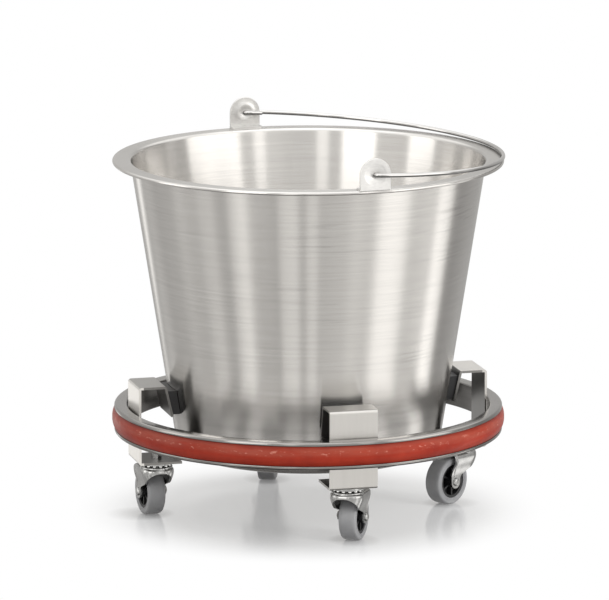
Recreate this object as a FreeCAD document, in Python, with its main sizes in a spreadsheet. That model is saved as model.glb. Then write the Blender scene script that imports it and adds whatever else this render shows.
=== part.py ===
import FreeCAD, Part
import math
import os
import Sketcher

# Kick bucket: a spun steel pail that sits on four rubber pads inside a low ring frame, which has a
# rubber bumper round it and rolls on four swivel castors. Millimetres, +Z up, origin on the floor
# under the pail's axis. The front leg stands at -Y, and the others follow anticlockwise from above.

# ---------------------------------------------------------------- driving dimensions

DIMENSIONS = {
    # pail
    "rim_diameter": 330.0,
    "rim_height": 303.0,
    "pail_sheet": 1.0,
    "rim_bead": 3.0,             # diameter of the rolled edge
    "rim_flange": 14.7,          # width of the flat rim outside the wall
    "wall_angle": 9.0,           # degrees from upright
    "mouth_bend": 3.0,
    "base_height": 54.0,
    "base_corner": 8.0,
    "panel_margin": 21.0,        # from the wall's foot in to the raised middle of the base
    "panel_rise": 2.0,
    # ears and bail
    "ear_width": 27.0,
    "ear_sheet": 1.8,
    "ear_dish": 19.0,            # diameter of the shallow recess round the ear's hole
    "ear_dish_depth": 0.5,
    "ear_foot": 9.0,             # length of the foot inwards from the ear
    "ear_foot_sheet": 1.5,
    "ear_foot_round": 3.0,
    "ear_setback": 0.3,          # of the ear's outer face from the rim's edge
    "pivot_height": 13.0,        # above the rim
    "bail_wire": 3.5,
    "bail_setback": 0.7,         # of the folded bail's furthest point from the rim's edge
    "bail_stub": 15.0,
    "bail_bend": 2.2,            # radius of the wire's middle at the hooks
    "bail_rest_gap": 0.25,       # between the folded bail and the rim
    "bail_play": 0.1,            # round the wire in the ear's hole
    "bail_side_gap": 1.05,       # between the arc's end and the ear's outer face
    "bail_stub_gap": 0.4,        # between the stub and the ear's inner face
    "ear_turn": 5.2,             # degrees from the front leg to the front ear
    # ring and bumper
    "ring_setback": 0.5,         # of the ring's outer edge from the rim's
    "ring_depth": 11.1,
    "ring_bottom": 70.0,
    "ring_height": 23.4,
    "ring_sheet": 1.6,
    "ring_lip": 3.2,
    "ring_bend": 1.9,
    "bumper_stand": 1.8,         # how far the bumper stands out past the ring
    "bumper_bulge": 2.3,         # how far the face stands out past its own edges
    "bumper_shoulder": 3.9,      # height over which it does so
    "bumper_round": 15.0,
    "bumper_play": 0.15,
    # legs and pads
    "leg_width": 41.0,
    "leg_sheet": 2.0,
    "leg_bend": 2.4,
    "leg_height": 116.9,
    "leg_seat_gap": 0.15,        # between the leg's upright edges and the ring's web
    "leg_base_length": 37.0,
    "flange_clearance": 7.15,    # between the pail's wall and the leg's flange, at the leg's top
    "flange_drop": 26.0,
    "flange_angle": 13.0,
    "weld_radius": 1.6,
    "weld_gap": 0.12,            # between the weld beads and the ring's web
    "pad_width": 37.0,
    "pad_lift": 1.5,             # from the flange's lower edge to the pad's
    "pad_height": 20.0,
    "pad_gap": 0.3,              # between the pads and the pail's wall
    "pad_seat_gap": 0.05,
    "cutter_reach": 1.0,         # how far a cutting shape runs on past what it cuts
    "pad_blank_depth": 9.0,
    "stud_hole_play": 0.1,
    # castors
    "castor_height": 50.0,
    "castor_inset": 19.3,        # from the leg's outer face to the swivel axis
    "castor_trail": 16.0,
    "stud_diameter": 5.0,
    "stud_play": 0.06,
    "stud_end": 2.5,             # length of thread past the nut
    "rivet_diameter": 12.0,
    "rivet_height": 1.5,
    "rivet_round": 0.7,
    "rivet_gap": 0.1,            # between the crown and the stud's head
    "stud_round": 1.0,
    "thread_gap": 0.02,
    "nut_width": 8.0,
    "nut_height": 4.5,
    "nut_play": 0.05,
    "nut_bevel": 0.3,
    "race_diameter": 27.6,
    "race_height": 2.7,
    "race_gap": 2.0,             # between the two races
    "race_depth": 0.9,           # height of the fork's own race above its crown
    "race_land": 5.0,
    "race_round": 1.2,
    "race_seat_gap": 0.03,
    "ball_diameter": 3.2,
    "ball_play": 0.08,
    "ball_count": 14,
    "crown_sheet": 1.8,
    "crown_width": 28.6,
    "fork_width": 21.6,          # over the legs at the axle
    "fork_eye": 5.7,             # radius of the leg's end round the axle
    "fork_skirt": 2.2,           # how far the crown's front edge is drawn down under the sheet
    "fork_waist_drop": 23.0,     # from the castor's top to where the legs end their taper
    "fork_shoulder_drop": 10.0,
    "fork_tail": 18.0,           # from the swivel axis to the crown's end over the wheel
    "fork_front_drop": 16.0,     # from the castor's top to where the legs' edges turn to the axle
    "fork_rear_drop": 14.0,
    "fork_toe": 5.0,             # above the axle, where the front edge meets the eye
    "fork_heel": 6.0,
    "fork_front_round": 9.0,
    "fork_bend": 2.8,
    "fork_joggle": 3.0,
    "fork_edge_round": 5.0,
    "fork_nose_round": 12.0,
    "fork_tail_round": 5.0,
    "wheel_headroom": 10.0,      # from the wheel's top to the castor's
    "wheel_width": 15.0,
    "tread_corner": 2.6,
    "tyre_thickness": 5.8,       # from the hub's rim to the tread
    "hub_rim": 2.2,
    "hub_inset": 1.0,            # hub rim's sides, in from the tyre's
    "hub_boss_radius": 5.2,
    "hub_web": 2.5,
    "hub_fillet": 0.5,
    "rib_bite": 0.4,
    "tyre_seat_gap": 0.03,
    "tyre_bead_round": 0.6,
    "rib_thickness": 1.4,
    "rib_count": 6,
    "bush_wall": 1.2,
    "bush_play": 0.06,
    "bush_seat_gap": 0.02,
    "bush_stand": 0.5,           # bush past the hub's boss at each end
    "wheel_side_play": 0.25,     # between the hub's boss and each fork leg
    "axle_diameter": 4.0,
    "axle_fit": 0.05,
    "axle_seat_gap": 0.05,
    "axle_head": 7.2,
    "axle_head_height": 1.9,
    "axle_nut_width": 7.0,
    "axle_nut_height": 2.6,
    "axle_end": 1.0,
}

# Each castor's name, the direction of its leg, the way its wheel trails, both in degrees from +X, and
# the side on which its axle's head lies.
CASTORS = [
    ("front", -90.0, 57.5, -1),
    ("right", 0.0, 214.8, 1),
    ("rear", 90.0, 248.7, 1),
    ("left", 180.0, 95.6, 1),
]

FULL_TURN = 360.0
HAIR = 0.02                      # keeps two neighbouring roundings from using up the edge between them
SHEET = "<<Sizes>>."


# ---------------------------------------------------------------- sizes that carry their formula

class Size:
    """A number together with the spreadsheet formula that gives it."""

    def __init__(self, value, formula):
        self.value = float(value)
        self.formula = formula

    def __add__(self, other):
        return joined(self, "+", other, self.value + number(other))

    def __radd__(self, other):
        return joined(other, "+", self, number(other) + self.value)

    def __sub__(self, other):
        return joined(self, "-", other, self.value - number(other))

    def __rsub__(self, other):
        return joined(other, "-", self, number(other) - self.value)

    def __mul__(self, other):
        return joined(self, "*", other, self.value * number(other))

    def __rmul__(self, other):
        return joined(other, "*", self, number(other) * self.value)

    def __truediv__(self, other):
        return joined(self, "/", other, self.value / number(other))

    def __neg__(self):
        return joined(0, "-", self, -self.value)


def number(size):
    return size.value if isinstance(size, Size) else float(size)


def formula(size):
    return size.formula if isinstance(size, Size) else repr(float(size))


def joined(left, sign, right, value):
    return Size(value, "(%s %s %s)" % (formula(left), sign, formula(right)))


def tangent(angle):
    return Size(math.tan(math.radians(number(angle))), "tan(%s)" % formula(angle))


def cosine(angle):
    return Size(math.cos(math.radians(number(angle))), "cos(%s)" % formula(angle))


def sine(angle):
    return Size(math.sin(math.radians(number(angle))), "sin(%s)" % formula(angle))


def root(size):
    return Size(math.sqrt(number(size)), "sqrt(%s)" % formula(size))


# ---------------------------------------------------------------- document and sheet

doc = FreeCAD.newDocument("KickBucket")
sheet = doc.addObject("Spreadsheet::Sheet", "Sizes")
S = {}
for row, (alias, value) in enumerate(DIMENSIONS.items(), start=1):
    sheet.set("A%d" % row, alias.replace("_", " "))
    sheet.set("B%d" % row, str(value))
    sheet.setAlias("B%d" % row, alias)
    S[alias] = Size(value, SHEET + alias)
doc.recompute()

# ---------------------------------------------------------------- sizes that several pieces share

rim_radius = S["rim_diameter"] / 2
wall_top_radius = rim_radius - S["rim_flange"]   # outer face of the wall, carried up to the rim's top
ear_reach = rim_radius - S["ear_setback"]
bail_reach = rim_radius - S["bail_setback"]
bead_radius = S["rim_bead"] / 2
pivot_z = S["rim_height"] + S["pivot_height"]
wire_radius = S["bail_wire"] / 2
ear_inner_face = ear_reach - S["ear_sheet"]
bail_arm = ear_reach + S["bail_side_gap"] + wire_radius
bail_stub_line = ear_inner_face - S["bail_stub_gap"] - wire_radius
bail_drop = S["pivot_height"] - wire_radius - S["bail_rest_gap"]

ring_radius = rim_radius - S["ring_setback"]
ring_web_radius = ring_radius - S["ring_depth"]
ring_top = S["ring_bottom"] + S["ring_height"]
leg_half_width = S["leg_width"] / 2
# the flat upright stands inside the round web, so its two edges come nearest to it
leg_edge_radius = ring_web_radius - S["leg_seat_gap"]
leg_face = root(leg_edge_radius * leg_edge_radius - leg_half_width * leg_half_width)
flange_foot = S["leg_height"] - S["flange_drop"]
swivel_radius = leg_face - S["castor_inset"]

race_radius = S["race_diameter"] / 2
upper_race_z = S["castor_height"] - S["race_height"]
lower_race_z = upper_race_z - S["race_gap"]
crown_z = lower_race_z - S["race_depth"]
crown_underside = crown_z - S["crown_sheet"]
ball_z = lower_race_z + S["race_gap"] / 2
ball_circle = race_radius - S["ball_diameter"] * 0.75
groove_radius = S["ball_diameter"] / 2 + S["ball_play"]
stud_radius = S["stud_diameter"] / 2
wheel_radius = (S["castor_height"] - S["wheel_headroom"]) / 2
hub_radius = wheel_radius - S["tyre_thickness"]
fork_half_width = S["fork_width"] / 2
fork_inner_half_width = fork_half_width - S["crown_sheet"]
axle_radius = S["axle_diameter"] / 2
bush_radius = axle_radius + S["bush_play"] + S["bush_wall"]
boss_half_length = fork_inner_half_width - S["wheel_side_play"]


def wall_radius(height):
    """Outer radius of the pail's wall at a height."""
    return wall_top_radius - (S["rim_height"] - height) * tangent(S["wall_angle"])


flange_top = wall_radius(S["leg_height"]) + S["flange_clearance"]
panel_radius = wall_radius(S["base_height"]) - S["panel_margin"]


# ---------------------------------------------------------------- modelling helpers

def bind(thing, path, size):
    thing.setExpression(path, formula(size))


def new_body(label):
    body = doc.addObject("PartDesign::Body", label)
    body.Label = label
    return body


def new_sketch(body, plane, name, offset=None):
    support = next(item for item in body.Origin.OriginFeatures if item.Role == plane)
    sketch = body.newObject("Sketcher::SketchObject", name)
    sketch.AttachmentSupport = [(support, "")]
    sketch.MapMode = "FlatFace"
    if offset is not None:
        bind(sketch, "AttachmentOffset.Base.z", offset)
    return sketch


def constrain(sketch, kind, *arguments):
    """Add a constraint; a Size as its last argument is bound to the sheet."""
    last = arguments[-1]
    if isinstance(last, Size):
        index = sketch.addConstraint(Sketcher.Constraint(kind, *arguments[:-1], last.value))
        bind(sketch, "Constraints[%d]" % index, last)
    else:
        sketch.addConstraint(Sketcher.Constraint(kind, *arguments))


def pin(sketch, element, vertex, corner):
    """Hold a sketch point at its place from the sketch's origin."""
    constrain(sketch, "DistanceX", -1, 1, element, vertex, corner[0] + ZERO)
    constrain(sketch, "DistanceY", -1, 1, element, vertex, corner[1] + ZERO)


ZERO = Size(0.0, "0")


def unit(start, end):
    step = (end[0] - start[0], end[1] - start[1])
    length = math.hypot(*step)
    return step[0] / length, step[1] / length


def outline(sketch, corners):
    """Draw a closed loop of straight edges; a corner is (x, y) or, rounded, (x, y, radius)."""
    points = [(number(corner[0]), number(corner[1])) for corner in corners]
    radii = [number(corner[2]) if len(corner) > 2 else 0.0 for corner in corners]
    count = len(points)
    arcs = []
    cuts = []
    for i in range(count):
        before = unit(points[i - 1], points[i])
        after = unit(points[i], points[(i + 1) % count])
        turn = math.atan2(before[0] * after[1] - before[1] * after[0],
                          before[0] * after[0] + before[1] * after[1])
        cut = radii[i] * math.tan(abs(turn) / 2)
        cuts.append(cut)
        arcs.append((before, after, turn))
    lines = []
    for i in range(count):
        after = arcs[i][1]
        j = (i + 1) % count
        start = FreeCAD.Vector(points[i][0] + after[0] * cuts[i], points[i][1] + after[1] * cuts[i], 0)
        end = FreeCAD.Vector(points[j][0] - after[0] * cuts[j], points[j][1] - after[1] * cuts[j], 0)
        lines.append(sketch.addGeometry(Part.LineSegment(start, end), False))
    for i in range(count):
        before, after, turn = arcs[i]
        if radii[i] == 0.0:
            constrain(sketch, "Coincident", lines[i - 1], 2, lines[i], 1)
            pin(sketch, lines[i], 1, corners[i])
            continue
        side = 1.0 if turn > 0 else -1.0
        centre = FreeCAD.Vector(points[i][0] - before[0] * cuts[i] - side * before[1] * radii[i],
                                points[i][1] - before[1] * cuts[i] + side * before[0] * radii[i], 0)
        first = math.atan2(-side * before[0], side * before[1])
        last = math.atan2(-side * after[0], side * after[1])
        low, high = (first, last) if side > 0 else (last, first)
        circle = Part.Circle(centre, FreeCAD.Vector(0, 0, 1), radii[i])
        arc = sketch.addGeometry(Part.ArcOfCircle(circle, low, high), False)
        entry, leave = (1, 2) if side > 0 else (2, 1)
        corner = sketch.addGeometry(Part.Point(FreeCAD.Vector(points[i][0], points[i][1], 0)), True)
        pin(sketch, corner, 1, corners[i])
        constrain(sketch, "PointOnObject", corner, 1, lines[i - 1])
        constrain(sketch, "PointOnObject", corner, 1, lines[i])
        constrain(sketch, "Tangent", lines[i - 1], 2, arc, entry)
        constrain(sketch, "Tangent", arc, leave, lines[i], 1)
        constrain(sketch, "Radius", arc, corners[i][2] + ZERO)


def circle(sketch, x, y, radius):
    centre = FreeCAD.Vector(number(x), number(y), 0)
    ring = sketch.addGeometry(Part.Circle(centre, FreeCAD.Vector(0, 0, 1), number(radius)), False)
    pin(sketch, ring, 3, (x, y))
    constrain(sketch, "Radius", ring, radius + ZERO)


def hexagon(sketch, width):
    """Hexagon across flats, about the sketch's origin."""
    reach = width / (2 * cosine(30))
    corners = []
    for step in range(6):
        angle = 60 * step
        corners.append((reach * cosine(angle), reach * sine(angle)))
    outline(sketch, corners)


def revolve(body, sketch, name, cut=False, axis="V_Axis"):
    kind = "PartDesign::Groove" if cut else "PartDesign::Revolution"
    feature = body.newObject(kind, name)
    feature.Profile = sketch
    feature.ReferenceAxis = (sketch, [axis])
    feature.Angle = FULL_TURN
    return feature


def extrude(body, sketch, name, length, symmetric=False, flip=False):
    pad = body.newObject("PartDesign::Pad", name)
    pad.Profile = sketch
    pad.Midplane = symmetric
    pad.Reversed = flip
    bind(pad, "Length", length)
    return pad


def cut_through(body, sketch, name):
    pocket = body.newObject("PartDesign::Pocket", name)
    pocket.Profile = sketch
    pocket.Type = "ThroughAll"
    pocket.Midplane = True
    return pocket


def lathe(label, corners, plane="XZ_Plane"):
    """A body turned from one closed profile about the sketch's upright axis."""
    body = new_body(label)
    sketch = new_sketch(body, plane, label + "_profile")
    outline(sketch, corners)
    revolve(body, sketch, label + "_turned")
    return body


# ---------------------------------------------------------------- pail

def make_pail():
    sheet_size = S["pail_sheet"]
    base = S["base_height"]
    rim = S["rim_height"]
    slant = sheet_size / cosine(S["wall_angle"])
    panel_slope = S["panel_rise"]
    bead_line = rim_radius - bead_radius
    inner_base = base + sheet_size
    body = lathe("pail_shell", [
        (0, base + S["panel_rise"]),
        (panel_radius, base + S["panel_rise"]),
        (panel_radius + panel_slope, base),
        (wall_radius(base), base, S["base_corner"]),
        (wall_radius(rim - sheet_size), rim - sheet_size, S["mouth_bend"] - sheet_size),
        (bead_line, rim - sheet_size),
        (bead_line, rim),
        (wall_radius(rim) - slant, rim, S["mouth_bend"]),
        (wall_radius(inner_base) - slant, inner_base, S["base_corner"] - sheet_size),
        (panel_radius + panel_slope, inner_base),
        (panel_radius, inner_base + S["panel_rise"]),
        (0, inner_base + S["panel_rise"]),
    ])
    bead = new_sketch(body, "XZ_Plane", "rim_bead_section")
    circle(bead, bead_line, rim - bead_radius, bead_radius)
    revolve(body, bead, "rim_bead_turned")
    return body


def make_ear(label):
    """Ear in its own frame: X across it, Y outwards from the pail's axis, Z up."""
    rim = S["rim_height"]
    half = S["ear_width"] / 2
    dome = half - HAIR
    body = new_body(label)
    blank = new_sketch(body, "XZ_Plane", label + "_outline", -ear_inner_face)
    outline(blank, [(-half, rim), (half, rim), (half, pivot_z + half, dome), (-half, pivot_z + half, dome)])
    extrude(body, blank, label + "_plate", S["ear_sheet"], flip=True)
    foot = new_sketch(body, "XY_Plane", label + "_foot_outline", rim)
    outline(foot, [
        (-half, ear_inner_face - S["ear_foot"], S["ear_foot_round"]),
        (half, ear_inner_face - S["ear_foot"], S["ear_foot_round"]),
        (half, ear_reach),
        (-half, ear_reach),
    ])
    extrude(body, foot, label + "_foot", S["ear_foot_sheet"])
    dish = new_sketch(body, "XZ_Plane", label + "_dish_outline", -ear_reach)
    circle(dish, 0, pivot_z, S["ear_dish"] / 2)
    recess = body.newObject("PartDesign::Pocket", label + "_dish")
    recess.Profile = dish
    recess.Reversed = True
    bind(recess, "Length", S["ear_dish_depth"])
    hole = new_sketch(body, "XZ_Plane", label + "_hole_outline")
    circle(hole, 0, pivot_z, wire_radius + S["bail_play"])
    cut_through(body, hole, label + "_hole")
    return body


def make_bail():
    """Bail in its own frame: the hooks turn on Y, and the wire's furthest point lies along +X."""
    body = new_body("bail_wire")
    path = new_sketch(body, "XY_Plane", "bail_path")
    bend = S["bail_bend"]
    reach = bail_reach
    sweep = (reach * reach + bail_arm * bail_arm) / (2 * reach)
    middle = reach - sweep
    hook_x = bend - middle
    hook_y = root((sweep - bend) * (sweep - bend) - hook_x * hook_x)
    swept = math.atan2(number(hook_y), number(hook_x))

    def line(x1, y1, x2, y2):
        ends = [FreeCAD.Vector(number(x1), number(y1), 0), FreeCAD.Vector(number(x2), number(y2), 0)]
        return path.addGeometry(Part.LineSegment(*ends), False)

    def arc(x, y, radius, low, high):
        centre = FreeCAD.Vector(number(x), number(y), 0)
        whole = Part.Circle(centre, FreeCAD.Vector(0, 0, 1), number(radius))
        return path.addGeometry(Part.ArcOfCircle(whole, low, high), False)

    half_turn = math.pi
    quarter = math.pi / 2
    inner = bail_stub_line
    chain = [
        line(S["bail_stub"], -inner, bend, -inner),
        arc(bend, -inner - bend, bend, quarter, half_turn),
        line(0, -inner - bend, 0, -hook_y),
        arc(bend, -hook_y, bend, half_turn, 2 * half_turn - swept),
        arc(middle, 0, sweep, -swept, swept),
        arc(bend, hook_y, bend, swept, half_turn),
        line(0, hook_y, 0, inner + bend),
        arc(bend, inner + bend, bend, half_turn, half_turn + quarter),
        line(bend, inner, S["bail_stub"], inner),
    ]
    for first, second in zip(chain, chain[1:]):
        constrain(path, "Tangent", first, 2, second, 1)
    pin(path, chain[0], 1, (S["bail_stub"], -inner))
    pin(path, chain[8], 2, (S["bail_stub"], inner))
    pin(path, chain[4], 3, (middle, ZERO))
    constrain(path, "Radius", chain[4], sweep)
    for step in (0, 8):
        constrain(path, "Horizontal", chain[step])
    for step in (2, 6):
        constrain(path, "Vertical", chain[step])
        constrain(path, "DistanceX", -1, 1, chain[step], 1, ZERO)
    for step in (1, 3, 5, 7):
        constrain(path, "Radius", chain[step], bend)
    section = new_sketch(body, "YZ_Plane", "bail_section", S["bail_stub"])
    circle(section, -inner, 0, wire_radius)
    pipe = body.newObject("PartDesign::AdditivePipe", "bail_swept")
    pipe.Profile = section
    pipe.Spine = (path, ["Edge%d" % (step + 1) for step in range(len(chain))])
    return body


# ---------------------------------------------------------------- ring and bumper

def make_ring():
    low = S["ring_bottom"]
    thick = S["ring_sheet"]
    lip = S["ring_lip"]
    outer = ring_radius
    web = ring_web_radius
    bend = S["ring_bend"]
    inside = bend - thick
    return lathe("ring_channel", [
        (web, low, bend),
        (outer, low, bend),
        (outer, low + lip),
        (outer - thick, low + lip),
        (outer - thick, low + thick, inside),
        (web + thick, low + thick, inside),
        (web + thick, ring_top - thick, inside),
        (outer - thick, ring_top - thick, inside),
        (outer - thick, ring_top - lip),
        (outer, ring_top - lip),
        (outer, ring_top, bend),
        (web, ring_top, bend),
    ])


def make_bumper():
    play = S["bumper_play"]
    low = S["ring_bottom"] + S["ring_sheet"] + play
    high = ring_top - S["ring_sheet"] - play
    neck_low = S["ring_bottom"] + S["ring_lip"] + play
    neck_high = ring_top - S["ring_lip"] - play
    inner = ring_web_radius + S["ring_sheet"] + play
    inner_lip = ring_radius - S["ring_sheet"] - play
    face = ring_radius + S["bumper_stand"]
    edge = face - S["bumper_bulge"]
    shoulder = S["bumper_shoulder"]
    bulge = S["bumper_round"]
    return lathe("bumper", [
        (inner, low),
        (inner_lip, low),
        (inner_lip, neck_low),
        (edge, neck_low),
        (face, neck_low + shoulder, bulge),
        (face, neck_high - shoulder, bulge),
        (edge, neck_high),
        (inner_lip, neck_high),
        (inner_lip, high),
        (inner, high),
    ])


# ---------------------------------------------------------------- legs and pads

def flange_x(height):
    """The pail's side of the sloped flange at a height."""
    return flange_top - (S["leg_height"] - height) * tangent(S["flange_angle"])


def make_leg(label):
    """Leg in a frame whose +X points outwards from the pail's axis."""
    body = new_body(label)
    thick = S["leg_sheet"]
    bend = S["leg_bend"]
    inside = bend - thick
    base = S["castor_height"]
    top = S["leg_height"]
    lean = S["flange_angle"]
    strip = new_sketch(body, "XZ_Plane", label + "_strip")
    outline(strip, [
        (leg_face - S["leg_base_length"], base),
        (leg_face, base, bend),
        (leg_face, top, bend),
        (flange_top, top, bend),
        (flange_x(flange_foot), flange_foot),
        (flange_x(flange_foot) + thick * cosine(lean), flange_foot - thick * sine(lean)),
        (flange_top - thick * tangent(lean) + thick / cosine(lean), top - thick, inside),
        (leg_face - thick, top - thick, inside),
        (leg_face - thick, base + thick, inside),
        (leg_face - S["leg_base_length"], base + thick),
    ])
    extrude(body, strip, label + "_bent", S["leg_width"], symmetric=True)
    welds = new_sketch(body, "XY_Plane", label + "_weld_section", S["ring_bottom"] + S["ring_bend"])
    for side in (-1, 1):
        circle(welds, leg_face, side * leg_half_width, S["weld_radius"])
    extrude(body, welds, label + "_welds", S["ring_height"] - 2 * S["ring_bend"])
    trim = new_sketch(body, "XZ_Plane", label + "_weld_trim")
    weld_edge = ring_web_radius - S["weld_gap"]
    outline(trim, [
        (weld_edge, S["ring_bottom"]),
        (weld_edge + 2 * S["weld_radius"], S["ring_bottom"]),
        (weld_edge + 2 * S["weld_radius"], ring_top),
        (weld_edge, ring_top),
    ])
    revolve(body, trim, label + "_welds_trimmed", cut=True)
    hole = new_sketch(body, "XY_Plane", label + "_stud_hole_outline", base + thick)
    circle(hole, swivel_radius, 0, stud_radius + S["stud_hole_play"])
    pocket = body.newObject("PartDesign::Pocket", label + "_stud_hole")
    pocket.Profile = hole
    bind(pocket, "Length", 2 * thick)
    return body


def make_pad(label):
    """Rubber wedge between a leg's flange and the pail's tapered wall, in the leg's frame."""
    body = new_body(label)
    low = flange_foot + S["pad_lift"]
    high = low + S["pad_height"]
    seat = S["pad_seat_gap"]
    depth = S["pad_blank_depth"]
    block = new_sketch(body, "XZ_Plane", label + "_block")
    outline(block, [
        (flange_x(low) - seat - depth, low),
        (flange_x(low) - seat, low),
        (flange_x(high) - seat, high),
        (flange_x(high) - seat - depth, high),
    ])
    extrude(body, block, label + "_wedge", S["pad_width"], symmetric=True)
    hollow = new_sketch(body, "XZ_Plane", label + "_hollow")
    below = low - S["cutter_reach"]
    above = high + S["cutter_reach"]
    outline(hollow, [
        (flange_x(low) - 2 * depth, below),
        (wall_radius(below) + S["pad_gap"], below),
        (wall_radius(above) + S["pad_gap"], above),
        (flange_x(low) - 2 * depth, above),
    ])
    revolve(body, hollow, label + "_hollowed", cut=True)
    return body


# ---------------------------------------------------------------- castors

def make_stud(label):
    head_top = crown_underside - S["rivet_gap"]
    head_low = head_top - S["rivet_height"]
    top = S["castor_height"] + S["leg_sheet"] + S["nut_play"] + S["nut_height"] + S["stud_end"]
    return lathe(label, [
        (0, head_low),
        (S["rivet_diameter"] / 2, head_low, S["rivet_round"]),
        (S["rivet_diameter"] / 2, head_top),
        (stud_radius, head_top),
        (stud_radius, top, S["stud_round"]),
        (0, top),
    ])


def make_nut(label):
    body = new_body(label)
    low = S["castor_height"] + S["leg_sheet"] + S["nut_play"]
    top = low + S["nut_height"]
    flats = new_sketch(body, "XY_Plane", label + "_outline", low)
    hexagon(flats, S["nut_width"])
    circle(flats, 0, 0, stud_radius + S["thread_gap"])
    extrude(body, flats, label + "_blank", S["nut_height"])
    bevel = new_sketch(body, "XZ_Plane", label + "_bevel")
    start = S["nut_width"] / 2 - S["nut_bevel"]
    reach = S["nut_width"]
    outline(bevel, [(start, top), (reach, top), (reach, top - (reach - start) * tangent(30))])
    revolve(body, bevel, label + "_bevelled", cut=True)
    return body


def make_upper_race(label):
    body = lathe(label, [
        (stud_radius + S["thread_gap"], upper_race_z),
        (race_radius, upper_race_z),
        (race_radius, S["castor_height"] - S["race_seat_gap"], S["race_round"]),
        (stud_radius + S["thread_gap"], S["castor_height"] - S["race_seat_gap"]),
    ])
    groove = new_sketch(body, "XZ_Plane", label + "_groove_section")
    circle(groove, ball_circle, ball_z, groove_radius)
    revolve(body, groove, label + "_groove", cut=True)
    return body


def make_lower_race(label):
    body = lathe(label, [
        (stud_radius + S["stud_play"], crown_z - S["crown_sheet"] / 2),
        (ball_circle, crown_z - S["crown_sheet"] / 2),
        (race_radius, crown_z),
        (race_radius, lower_race_z, S["race_depth"] / 2),
        (race_radius - S["race_land"], lower_race_z),
        (race_radius - S["race_land"] - S["race_depth"], crown_z),
        (stud_radius + S["stud_play"], crown_z),
    ])
    groove = new_sketch(body, "XZ_Plane", label + "_groove_section")
    circle(groove, ball_circle, ball_z, groove_radius)
    revolve(body, groove, label + "_groove", cut=True)
    return body


def make_balls(label):
    balls = []
    for step in range(int(number(S["ball_count"]))):
        angle = FULL_TURN * step / number(S["ball_count"])
        ball = doc.addObject("Part::Sphere", "%s_%d" % (label, step))
        bind(ball, "Radius", S["ball_diameter"] / 2)
        bind(ball, "Placement.Base.x", ball_circle * cosine(angle))
        bind(ball, "Placement.Base.y", ball_circle * sine(angle))
        bind(ball, "Placement.Base.z", ball_z + ZERO)
        balls.append(ball)
    group = doc.addObject("Part::Compound", label)
    group.Links = balls
    return group


def mirrored(corners):
    """Corners, then their mirror images in the upright axis, in reverse."""
    return corners + [(-corner[0],) + tuple(corner[1:]) for corner in reversed(corners)]


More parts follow.
